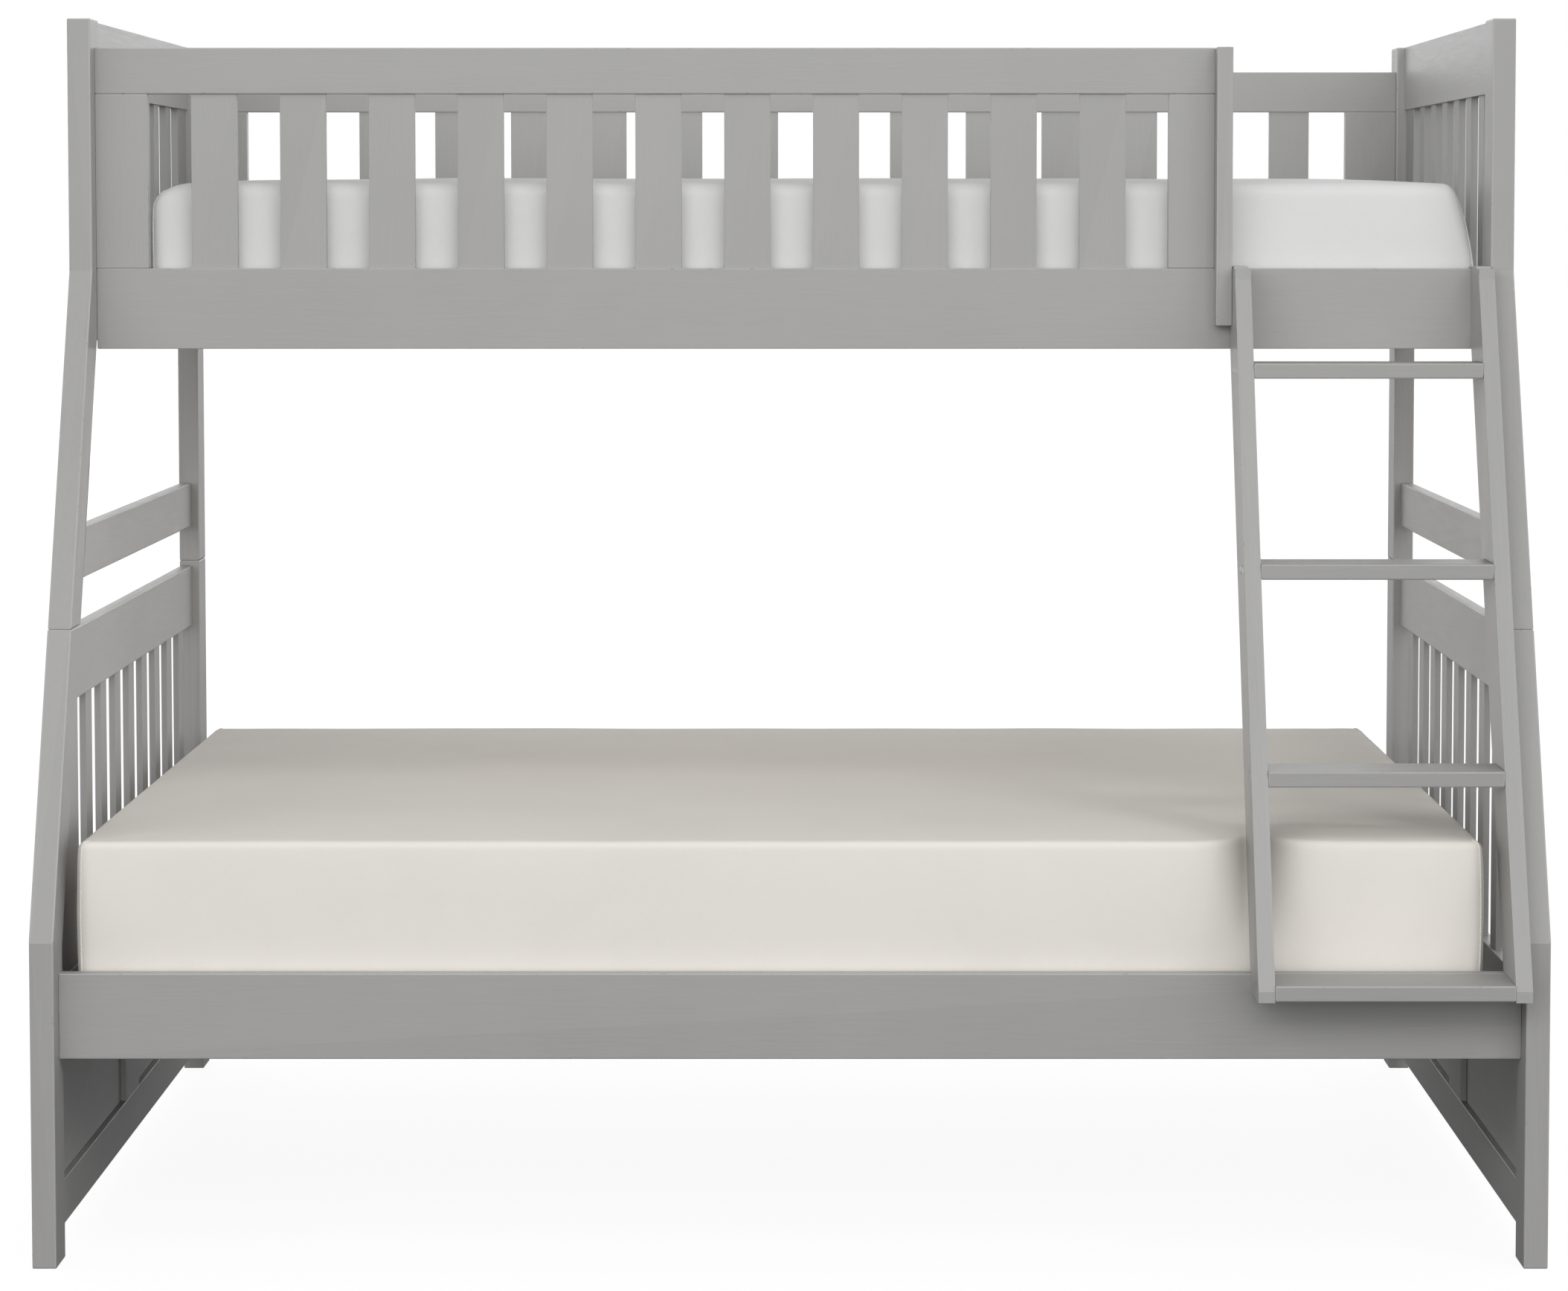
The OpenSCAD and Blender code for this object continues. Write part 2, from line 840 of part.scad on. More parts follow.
module stacking_pins() {
    color(steel) for (side = [-1, 1])
        at_side(side) {
            pin_at(front_pin_y, pin_r, pin_l);
            pin_at(rear_pin_y, pin_r, pin_l);
        }
}

// ---- Mattresses ----

module mattress_block(centre_x, l, y0, y1, z, h) {
    r = mattress_corner_r;
    x0 = centre_x - l / 2;
    x1 = centre_x + l / 2;
    translate([0, 0, z]) linear_extrude(h) union() {
        translate([x0 + r, y0]) square([x1 - x0 - 2 * r, y1 - y0]);
        translate([x0, y0 + r]) square([x1 - x0, y1 - y0 - 2 * r]);
        for (x = [x0 + r, x1 - r], y = [y0 + r, y1 - r])
            translate([x, y]) circle(r = r);
    }
}

// The ladder's left side presses a dent into the front of the lower mattress
module ladder_dent() {
    slack = 8;
    z0 = lower_mattress_z - 1;
    z1 = lower_mattress_z + lower_mattress_h + 1;
    board(ladder_x - slack, string_t + 2 * slack) polygon([
        [front_face, z0],
        [ladder_back_y(z0) + slack, z0],
        [ladder_back_y(z1) + slack, z1],
        [front_face, z1]]);
}

module lower_mattress() {
    color(white) difference() {
        mattress_block(lower_mattress_x, lower_mattress_l, lower_rail_y + rail_t + mattress_gap,
            rear_rail_y - mattress_gap, lower_mattress_z, lower_mattress_h);
        ladder_dent();
    }
}

module upper_mattress() {
    color(white) mattress_block(upper_mattress_x, upper_mattress_l, upper_rail_y + rail_t + 2 * mattress_gap,
        rear_rail_y - mattress_gap, upper_mattress_z, upper_mattress_h);
}

lower_front_leg(-1);  // lower_front_leg_left
lower_front_leg(1);  // lower_front_leg_right
lower_rear_leg(-1);  // lower_rear_leg_left
lower_rear_leg(1);  // lower_rear_leg_right
upper_front_post(-1);  // upper_front_post_left
upper_front_post(1);  // upper_front_post_right
upper_rear_post(-1);  // upper_rear_post_left
upper_rear_post(1);  // upper_rear_post_right
lower_end_top_rail(-1);  // lower_end_top_rail_left
lower_end_top_rail(1);  // lower_end_top_rail_right
lower_end_slats(-1);  // lower_end_slats_left
lower_end_slats(1);  // lower_end_slats_right
lower_end_corner_board(-1);  // lower_end_corner_board_left
lower_end_corner_board(1);  // lower_end_corner_board_right
lower_end_mid_rail(-1);  // lower_end_mid_rail_left
lower_end_mid_rail(1);  // lower_end_mid_rail_right
lower_end_bottom_rail(-1);  // lower_end_bottom_rail_left
lower_end_bottom_rail(1);  // lower_end_bottom_rail_right
lower_end_stile(-1);  // lower_end_stile_left
lower_end_stile(1);  // lower_end_stile_right
lower_end_panels(-1);  // lower_end_panels_left
lower_end_panels(1);  // lower_end_panels_right
upper_end_top_rail(-1);  // upper_end_top_rail_left
upper_end_top_rail(1);  // upper_end_top_rail_right
upper_end_slats(-1);  // upper_end_slats_left
upper_end_slats(1);  // upper_end_slats_right
upper_end_low_rail(-1);  // upper_end_low_rail_left
upper_end_low_rail(1);  // upper_end_low_rail_right
brace_rail(-1);  // brace_rail_left
brace_rail(1);  // brace_rail_right
lower_front_rail();
lower_rear_rail();
upper_front_rail();
upper_rear_rail();
slat_ledgers();
lower_bed_slats();
upper_bed_slats();
front_guard_rail();
front_guard_slats();
front_guard_stile_left();
front_guard_stile_right();
front_guard_end_post();
rear_guard_rail();
rear_guard_slats();
rear_guard_stiles();
ladder_side(ladder_x);  // ladder_side_left
ladder_side(ladder_right - string_t);  // ladder_side_right
ladder_tread(0);  // ladder_tread_1
ladder_tread(1);  // ladder_tread_2
ladder_tread(2);  // ladder_tread_3
ladder_tread(3);  // ladder_tread_4
ladder_screws();
ladder_hooks();
rail_bolts();
barrel_nuts();
guard_bolts();
stacking_pins();
lower_mattress();
upper_mattress();
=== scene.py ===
"""The looks of a twin-over-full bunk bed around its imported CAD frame.

Every board keeps its CAD shape and gets eased edges and satin paint, the two mattresses are made
up as soft, sheeted forms, and a pale studio and a camera stand round them. Lengths are in metres.
"""

import math

import bpy
import numpy as np
from mathutils import Euler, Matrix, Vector
from mathutils.bvhtree import BVHTree


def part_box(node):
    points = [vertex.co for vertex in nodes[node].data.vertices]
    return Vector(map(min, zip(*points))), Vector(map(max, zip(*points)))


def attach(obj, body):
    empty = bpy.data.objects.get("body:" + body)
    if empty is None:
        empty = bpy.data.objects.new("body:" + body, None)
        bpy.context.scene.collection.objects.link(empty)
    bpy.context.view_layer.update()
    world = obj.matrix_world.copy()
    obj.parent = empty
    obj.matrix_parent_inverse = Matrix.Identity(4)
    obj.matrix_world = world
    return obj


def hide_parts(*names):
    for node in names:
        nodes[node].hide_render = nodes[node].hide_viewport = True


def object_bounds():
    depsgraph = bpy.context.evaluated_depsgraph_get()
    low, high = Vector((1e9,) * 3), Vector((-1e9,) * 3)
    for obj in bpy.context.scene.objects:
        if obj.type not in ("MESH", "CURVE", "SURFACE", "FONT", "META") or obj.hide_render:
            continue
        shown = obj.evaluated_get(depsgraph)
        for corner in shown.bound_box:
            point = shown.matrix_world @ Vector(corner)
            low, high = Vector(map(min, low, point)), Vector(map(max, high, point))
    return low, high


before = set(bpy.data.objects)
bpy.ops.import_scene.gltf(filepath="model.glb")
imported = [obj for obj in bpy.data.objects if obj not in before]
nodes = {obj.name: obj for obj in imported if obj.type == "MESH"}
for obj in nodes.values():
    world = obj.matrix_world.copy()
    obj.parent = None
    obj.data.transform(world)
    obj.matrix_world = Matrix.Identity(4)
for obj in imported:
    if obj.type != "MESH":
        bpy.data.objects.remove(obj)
cad_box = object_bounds()
MM = 0.001

# ---- Colours, linear ----
GREY = (0.432, 0.428, 0.418)
# The end slats' paint is the frame's grey darkened: painted shade for the shade that falls between the slats
# of the ends.
SHADED_SLAT_GREY = (0.350, 0.347, 0.340)
LADDER_GREY = (0.440, 0.437, 0.425)
TREAD_GREY = (0.410, 0.407, 0.397)
PINE = (0.62, 0.44, 0.24)
STEEL = (0.55, 0.56, 0.58)
WARM_SHEET = (0.940, 0.903, 0.838)
WHITE_SHEET = (0.885, 0.890, 0.872)


# ---- Node graphs ----


class Graph:
    """A material's node tree, with short calls to add nodes and feed their inputs."""

    def __init__(self, name):
        self.material = bpy.data.materials.new(name)
        self.material.use_nodes = True
        self.tree = self.material.node_tree
        self.tree.nodes.clear()
        self.shader = self.add("ShaderNodeBsdfPrincipled")
        output = self.add("ShaderNodeOutputMaterial")
        self.tree.links.new(self.shader.outputs[0], output.inputs["Surface"])

    def add(self, kind, settings=None, **inputs):
        made = self.tree.nodes.new(kind)
        for key, value in (settings or {}).items():
            setattr(made, key, value)
        for key, value in inputs.items():
            self.feed(made.inputs[key.replace("_", " ")], value)
        return made

    def feed(self, socket, value):
        if isinstance(value, bpy.types.NodeSocket):
            self.tree.links.new(value, socket)
        else:
            socket.default_value = value

    def set(self, **inputs):
        for key, value in inputs.items():
            self.feed(self.shader.inputs[key.replace("_", " ")], value)

    def position(self, scale=(1, 1, 1), turn=(0, 0, 0)):
        """Places on the object in metres, stretched by scale."""
        where = self.add("ShaderNodeTexCoord").outputs["Object"]
        if any(turn):
            where = self.add("ShaderNodeMapping", Vector=where, Rotation=turn).outputs[0]
        return self.add("ShaderNodeMapping", Vector=where, Scale=scale).outputs[0]

    def noise(self, vector, scale, detail=4.0, rough=0.55, distortion=0.0):
        made = self.add(
            "ShaderNodeTexNoise", Vector=vector, Scale=scale, Detail=detail,
            Roughness=rough, Distortion=distortion,
        )
        return made.outputs[0]

    def math(self, operation, *values):
        made = self.add("ShaderNodeMath", {"operation": operation})
        for socket, value in zip(made.inputs, values):
            self.feed(socket, value)
        return made.outputs[0]

    def spread(self, value, low, high, start=0.3, end=0.7):
        """value's range start to end stretched to low to high."""
        made = self.add("ShaderNodeMapRange", Value=value)
        for socket, number in zip(list(made.inputs)[1:5], (start, end, low, high)):
            socket.default_value = number
        return made.outputs[0]

    def ramp(self, value, stops):
        made = self.add("ShaderNodeValToRGB", Fac=value)
        band = made.color_ramp
        while len(band.elements) < len(stops):
            band.elements.new(0.5)
        for element, (place, colour) in zip(band.elements, stops):
            element.position = place
            element.color = (*colour, 1.0)
        return made.outputs[0]

    def mix(self, share, first, second):
        made = self.add("ShaderNodeMix", {"data_type": "RGBA"})
        for socket, value in zip((made.inputs[0], made.inputs[6], made.inputs[7]), (share, first, second)):
            self.feed(socket, value)
        return made.outputs[2]

    def bump(self, height, distance, strength, under=None):
        made = self.add("ShaderNodeBump", Height=height, Strength=strength, Distance=distance)
        if under is not None:
            self.feed(made.inputs["Normal"], under)
        return made.outputs[0]

    def island(self):
        """A number from 0 to 1 that differs from board to board."""
        return self.add("ShaderNodeNewGeometry").outputs["Random Per Island"]


def shade(colour, factor):
    return tuple(min(1.0, c * factor) for c in colour)


# The stretch of the grain along a board that runs along each axis
GRAIN = {"x": (1, 22, 22), "y": (22, 1, 22), "z": (22, 22, 1)}
# The ladder leans back by the angle between its lowest and highest treads
lowest, highest = (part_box(f"ladder_tread_{i}")[0] for i in (1, 4))
LEAN_TURN = math.atan2(highest.y - lowest.y, highest.z - lowest.z)


def paint(name, colour, along, turn=0.0, worn_highlit=False):
    """Satin paint over close-grained wood that runs along one axis."""
    g = Graph(name)
    grain_place = g.position(GRAIN[along], (turn, 0, 0))
    place = g.position()
    grain = g.noise(grain_place, 11.0, 6.0, 0.62, 0.4)
    pores = g.noise(grain_place, 46.0, 3.0, 0.7)
    cloud = g.noise(place, 5.0, 3.0)
    speck = g.noise(place, 700.0, 2.0)
    tone = g.math("ADD", g.math("MULTIPLY", grain, 0.45), g.math("MULTIPLY", cloud, 0.35))
    tone = g.math("ADD", tone, g.math("MULTIPLY", g.island(), 0.20))
    base = g.ramp(tone, [(0.30, shade(colour, 0.945)), (0.50, colour), (0.68, shade(colour, 1.05))])
    # Edge paint: dark nicks are chipped paint (wear), and the whole edge is mixed part way to a lighter grey,
    # a painted highlight along the rounding.
    if worn_highlit:
        nicks = g.spread(g.noise(place, 90.0, 5.0, 0.7), 0.0, 1.0, 0.60, 0.70)
        base = g.mix(nicks, g.mix(0.35, base, (*shade(colour, 1.35), 1)), (*shade(colour, 0.72), 1))
    g.set(
        Base_Color=base,
        Roughness=g.spread(grain, 0.34 if worn_highlit else 0.40, 0.46 if worn_highlit else 0.54),
        Coat_Weight=0.12,
        Coat_Roughness=0.35,
        Normal=g.bump(pores, 0.12 * MM, 0.5, g.bump(grain, 0.35 * MM, 0.6, g.bump(speck, 0.05 * MM, 0.6))),
    )
    return g.material


def bare_pine(along):
    """Planed pine with growth rings, pores and the odd knot."""
    g = Graph(f"bare_pine_{along}")
    place = g.position(GRAIN[along])
    shift = g.math("MULTIPLY", g.island(), 7.0)
    rings = g.add(
        "ShaderNodeTexWave", {"bands_direction": "DIAGONAL"}, Vector=place, Scale=1.6,
        Distortion=5.0, Detail=3.0, Detail_Scale=1.2, Phase_Offset=shift,
    ).outputs["Fac"]
    pores = g.noise(place, 30.0, 5.0, 0.65)
    knots = g.add("ShaderNodeTexVoronoi", Vector=g.position((4, 4, 4)), Scale=1.0).outputs["Distance"]
    wood = g.ramp(rings, [(0.0, shade(PINE, 0.80)), (0.55, PINE), (1.0, shade(PINE, 1.18))])
    wood = g.mix(g.spread(pores, 0.0, 0.35), wood, (*shade(PINE, 0.70), 1))
    wood = g.mix(g.spread(knots, 0.75, 0.0, 0.02, 0.07), wood, (0.20, 0.10, 0.045, 1))
    g.set(
        Base_Color=wood,
        Roughness=g.spread(pores, 0.50, 0.66),
        Normal=g.bump(rings, 0.10 * MM, 0.4, g.bump(pores, 0.20 * MM, 0.6)),
    )
    return g.material


def zinc_steel():
    """Plated fixings with fine scratches."""
    g = Graph("zinc_steel")
    scratch = g.noise(g.position((60, 900, 900)), 1.0, 4.0, 0.7)
    cloud = g.noise(g.position(), 120.0, 3.0)
    g.set(
        Base_Color=g.ramp(cloud, [(0.35, shade(STEEL, 0.82)), (0.65, shade(STEEL, 1.08))]),
        Metallic=1.0,
        Roughness=g.spread(scratch, 0.26, 0.44),
        Normal=g.bump(scratch, 0.03 * MM, 0.5),
    )
    return g.material


def cotton(name, colour):
    """Plain-woven cotton sheet: crossing thread waves, fine slubs and soft creases."""
    g = Graph(name)
    place = g.position()
    threads = []
    for direction in "XYZ":
        wave = g.add(
            "ShaderNodeTexWave", {"bands_direction": direction}, Vector=place,
            Scale=420.0, Distortion=0.6, Detail=1.0,
        )
        threads.append(wave.outputs["Fac"])
    cloth = g.math("MAXIMUM", g.math("MULTIPLY", threads[0], threads[1]), threads[2])
    slub = g.noise(place, 260.0, 3.0, 0.7)
    cloud = g.noise(place, 3.5, 4.0)
    crease = g.noise(g.position((1, 1, 1.6)), 22.0, 2.0, 0.45, 0.8)
    base = g.ramp(
        g.math("ADD", g.math("MULTIPLY", cloud, 0.7), g.math("MULTIPLY", slub, 0.3)),
        [(0.32, shade(colour, 0.965)), (0.52, colour), (0.70, shade(colour, 1.02))],
    )
    g.set(
        Base_Color=base,
        Roughness=g.spread(slub, 0.82, 0.94),
        Sheen_Weight=0.22,
        Sheen_Roughness=0.45,
        Specular_IOR_Level=0.25,
        Normal=g.bump(cloth, 0.10 * MM, 0.4, g.bump(slub, 0.06 * MM, 0.5, g.bump(crease, 0.8 * MM, 0.3))),
    )
    return g.material


def stitched(name, colour):
    """A seam's welt: the sheet's cotton, doubled and crossed by close stitches."""
    g = Graph(name)
    place = g.position()
    stitch = g.add(
        "ShaderNodeTexWave", {"bands_direction": "Z"}, Vector=place, Scale=90.0, Distortion=0.4, Detail=1.0,
    ).outputs["Fac"]
    fibre = g.noise(place, 900.0, 3.0, 0.7)
    g.set(
        Base_Color=g.ramp(stitch, [(0.15, shade(colour, 0.86)), (0.55, shade(colour, 0.98))]),
        Roughness=g.spread(fibre, 0.80, 0.95),
        Sheen_Weight=0.2,
        Normal=g.bump(stitch, 0.35 * MM, 0.7, g.bump(fibre, 0.06 * MM, 0.5)),
    )
    return g.material


# ---- Boards: the CAD shapes, with eased edges ----


def ease(names, face, edge, width):
    """Gives CAD boards rounded edges, a paint for their faces and, for the rounding, a worn paint with a
    painted highlight.

    Where the width is more than the facets of a bolt hole or screw sink, the rounding stands out of
    the board there, so the side rails and the ladder's sides take less than the plain boards.
    """
    for name in names:
        board = nodes[name]
        board.data.materials.clear()
        board.data.materials.append(face)
        board.data.materials.append(edge)
        board.data.shade_flat()
        weld = board.modifiers.new("weld", "WELD")
        weld.merge_threshold = 0.01 * MM
        bevel = board.modifiers.new("ease", "BEVEL")
        bevel.width = width
        bevel.segments = 2
        bevel.limit_method = "ANGLE"
        bevel.angle_limit = math.radians(40)
        bevel.use_clamp_overlap = False
        bevel.material = 1


def both(*names):
    return [f"{name}_{side}" for name in names for side in ("left", "right")]


def paint_frame():
    # The edge paints carry wear and a painted highlight along the rounded edges.
    wear_and_highlight = {axis: paint(f"grey_edge_{axis}", GREY, axis, worn_highlit=True) for axis in "xyz"}
    face = {axis: paint(f"grey_paint_{axis}", GREY, axis) for axis in "xyz"}
    # The end slats take the darkened grey, painted shade between the slats.
    shaded_slat_wear_and_highlight = paint("shaded_slat_edge", SHADED_SLAT_GREY, "z", worn_highlit=True)
    shaded_slat_face = paint("shaded_slat_paint", SHADED_SLAT_GREY, "z")
    posts = both("lower_front_leg", "lower_rear_leg", "upper_front_post", "upper_rear_post")
    ease(posts, face["z"], wear_and_highlight["z"], 2.0 * MM)
    uprights = [
        "front_guard_slats", "rear_guard_slats", "front_guard_stile_left", "front_guard_stile_right",
        "front_guard_end_post", "rear_guard_stiles",
    ]
    ease(uprights, face["z"], wear_and_highlight["z"], 1.5 * MM)
    ease(both("lower_end_slats", "upper_end_slats"), shaded_slat_face, shaded_slat_wear_and_highlight, 0.5 * MM)
    ease(both("lower_end_corner_board"), face["z"], wear_and_highlight["z"], 0.5 * MM)
    ease(both("lower_end_stile"), face["z"], wear_and_highlight["z"], 0.7 * MM)
    ease(["front_guard_rail", "rear_guard_rail"], face["x"], wear_and_highlight["x"], 1.8 * MM)
    ease(["lower_front_rail", "upper_front_rail"], face["x"], wear_and_highlight["x"], 1.5 * MM)
    ease(["lower_rear_rail", "upper_rear_rail"], face["x"], wear_and_highlight["x"], 1.0 * MM)
    ease(both("upper_end_top_rail", "brace_rail", "lower_end_top_rail"), face["y"], wear_and_highlight["y"], 1.5 * MM)
    ease(both("upper_end_low_rail"), face["y"], wear_and_highlight["y"], 0.5 * MM)
    low_end_boards = both("lower_end_mid_rail", "lower_end_bottom_rail", "lower_end_panels")
    ease(low_end_boards, face["y"], wear_and_highlight["y"], 0.7 * MM)


def paint_ladder():
    side = paint("ladder_paint_side", LADDER_GREY, "z", LEAN_TURN)
    side_edge = paint("ladder_edge_side", LADDER_GREY, "z", LEAN_TURN, worn_highlit=True)
    tread = paint("ladder_paint_tread", TREAD_GREY, "x")
    tread_edge = paint("ladder_edge_tread", TREAD_GREY, "x", worn_highlit=True)
    ease(both("ladder_side"), side, side_edge, 0.7 * MM)
    ease([f"ladder_tread_{i}" for i in range(1, 5)], tread, tread_edge, 2.0 * MM)
    ease(["ladder_hooks"], side, side_edge, 0.6 * MM)


def finish_fixings():
    pine = {axis: bare_pine(axis) for axis in "xy"}
    ease(["slat_ledgers"], pine["x"], pine["x"], 1.0 * MM)
    ease(["lower_bed_slats", "upper_bed_slats"], pine["y"], pine["y"], 1.5 * MM)
    steel = zinc_steel()
    metal = ["rail_bolts", "barrel_nuts", "guard_bolts", "stacking_pins", "ladder_screws"]
    ease(metal, steel, steel, 0.4 * MM)


# ---- Mattresses ----

# Each is how far a sheet's form moves the cover, and its wavelength
TOP_WAVES = (1.3 * MM, 260 * MM)
CORNER_FOLDS = (1.1 * MM, 55 * MM)
SIDE_FOLDS = (2.0 * MM, 45 * MM)
CORNER_GATHERS = (2.5 * MM, 26 * MM)
CORNER_PULL = (1.0 * MM, 60 * MM)
SIDE_SWELL = 3.5 * MM
LATTICE_STEP = 21 * MM
MOST_INFLATION = 3.0 * MM
SIM_FRAMES = 16
# The dent: the clearance to the board, how it fades beside it and into the top, and its close lines
DENT_GAP = 1.5 * MM
DENT_FADE = 26 * MM
DENT_DEPTH = 0.24
DENT_LINES_REACH = 84 * MM
DENT_LINES_STEP = 6 * MM
LOWER_CORNER = 22 * MM
UPPER_CORNER = 24 * MM


def lines(length, step, close=()):
    """Places along a side: close together over the rounded ends, then even, with any extra close ones."""
    ends = [0, 3, 7, 12, 18, 25, 34, 45, 58, 73]
    ends = [e * MM for e in ends if e * MM < length / 2 - step / 2]
    middle = np.linspace(ends[-1], length - ends[-1], max(2, round((length - 2 * ends[-1]) / step) + 1))
    if len(close):
        clear = (middle < close[0] - step / 3) | (middle > close[-1] + step / 3)
        middle = np.sort(np.concatenate([middle[clear], close]))
    return np.concatenate([ends[:-1], middle, [length - e for e in reversed(ends[:-1])]])


def box_surface(xs, ys, zs):
    """Points and quads of a box's surface on the given lattice."""
    index, points, quads = {}, [], []

    def point(i, j, k):
        if (i, j, k) not in index:
            index[i, j, k] = len(points)
            points.append((xs[i], ys[j], zs[k]))
        return index[i, j, k]

    nx, ny, nz = len(xs) - 1, len(ys) - 1, len(zs) - 1
    for i in range(nx):
        for j in range(ny):
            quads.append([point(i, j, 0), point(i, j + 1, 0), point(i + 1, j + 1, 0), point(i + 1, j, 0)])
            quads.append([point(i, j, nz), point(i + 1, j, nz), point(i + 1, j + 1, nz), point(i, j + 1, nz)])
    for i in range(nx):
        for k in range(nz):
            quads.append([point(i, 0, k), point(i + 1, 0, k), point(i + 1, 0, k + 1), point(i, 0, k + 1)])
            quads.append([point(i, ny, k), point(i, ny, k + 1), point(i + 1, ny, k + 1), point(i + 1, ny, k)])
    for j in range(ny):
        for k in range(nz):
            quads.append([point(0, j, k), point(0, j, k + 1), point(0, j + 1, k + 1), point(0, j + 1, k)])
            quads.append([point(nx, j, k), point(nx, j + 1, k), point(nx, j + 1, k + 1), point(nx, j, k + 1)])
    return np.array(points), quads


def round_over(p, size, corner, long_edge, short_edge):
    """Rounds a box's upright corners, then its top and bottom edges. p is measured from its lowest corner."""
    centre = size[:2] / 2
    core = np.clip(p[:, :2], corner, size[:2] - corner)
    v = p[:, :2] - core
    reach = np.abs(v).max(1)
    length = np.maximum(np.hypot(v[:, 0], v[:, 1]), 1e-9)
    flat = core + v * (reach / length)[:, None]
    in_corner = (np.abs(v) > 1e-9).all(1)
    to_side = np.minimum(p[:, :2], size[:2] - p[:, :2])
    x_nearer = to_side[:, 0] < to_side[:, 1]
    out = np.where(
        x_nearer[:, None],
        np.c_[np.sign(p[:, 0] - centre[0]), np.zeros(len(p))],
        np.c_[np.zeros(len(p)), np.sign(p[:, 1] - centre[1])],
    )
    out = np.where(in_corner[:, None], v / length[:, None], out)
    depth = np.where(in_corner, corner - reach, to_side.min(1))
    radius = long_edge * out[:, 1] ** 2 + short_edge * out[:, 0] ** 2
    height = np.minimum(p[:, 2], size[2] - p[:, 2])
    a = np.maximum(radius - depth, 0)
    b = np.maximum(radius - height, 0)
    far = np.maximum(np.hypot(a, b), 1e-9)
    scale = np.where((a > 0) & (b > 0), np.maximum(a, b) / far, 1)
    new_depth = np.where((a > 0) & (b > 0), radius - a * scale, depth)
    new_height = np.where((a > 0) & (b > 0), radius - b * scale, height)
    flat = flat - out * (new_depth - depth)[:, None]
    z = np.where(p[:, 2] > size[2] / 2, size[2] - new_height, new_height)
    return np.c_[flat, z], out


def waves(p, seed, wavelength):
    """A smooth field from -1 to 1 made of crossing sine waves."""
    count = 7
    random = np.random.default_rng(seed)
    total = np.zeros(len(p))
    for _ in range(count):
        heading = random.normal(size=3)
        heading *= 2 * math.pi / (wavelength * random.uniform(0.7, 1.5)) / np.linalg.norm(heading)
        total += np.sin(p @ heading + random.uniform(0, 2 * math.pi))
    return total / count


def ripple(p, seed, form):
    height, wavelength = form
    return height * waves(p, seed, wavelength)


def smooth(t):
    t = np.clip(t, 0, 1)
    return t * t * (3 - 2 * t)


def new_mesh(name, points, faces, material):
    mesh = bpy.data.meshes.new(name)
    mesh.from_pydata([tuple(p) for p in points], [], faces)
    mesh.update()
    mesh.materials.append(material)
    mesh.shade_smooth()
    made = bpy.data.objects.new(name, mesh)
    bpy.context.scene.collection.objects.link(made)
    return made


def coordinates(mesh):
    co = np.zeros(len(mesh.vertices) * 3)
    mesh.vertices.foreach_get("co", co)
    return co.reshape(-1, 3)


def place_points(mesh, co):
    mesh.vertices.foreach_set("co", co.ravel())
    mesh.update()


def inflate(piece):
    """Lets air pressure and the cover's tension shape the piece, within MOST_INFLATION of where it was."""
    rest = coordinates(piece.data)
    cloth = piece.modifiers.new("cloth", "CLOTH")
    fabric = cloth.settings
    fabric.quality = 5
    fabric.mass = 0.4
    fabric.tension_stiffness = 18
    fabric.compression_stiffness = 18
    fabric.shear_stiffness = 6
    fabric.bending_stiffness = 0.6
    fabric.use_pressure = True
    fabric.uniform_pressure_force = 4.0
    fabric.shrink_min = -0.006
    fabric.effector_weights.gravity = 0.0
    cloth.collision_settings.use_collision = False
    cloth.point_cache.frame_end = SIM_FRAMES
    for number in range(1, SIM_FRAMES + 1):
        bpy.context.scene.frame_set(number)
    shown = piece.evaluated_get(bpy.context.evaluated_depsgraph_get())
    moved = coordinates(shown.data) - rest
    piece.modifiers.remove(cloth)
    bpy.context.scene.frame_set(1)
    far = np.maximum(np.linalg.norm(moved, axis=1), 1e-9)
    eased = MOST_INFLATION * np.tanh(far / MOST_INFLATION)
    place_points(piece.data, rest + moved * (eased / far)[:, None])


def subdivide(piece):
    made = piece.modifiers.new("round", "SUBSURF")
    made.levels = made.render_levels = 1


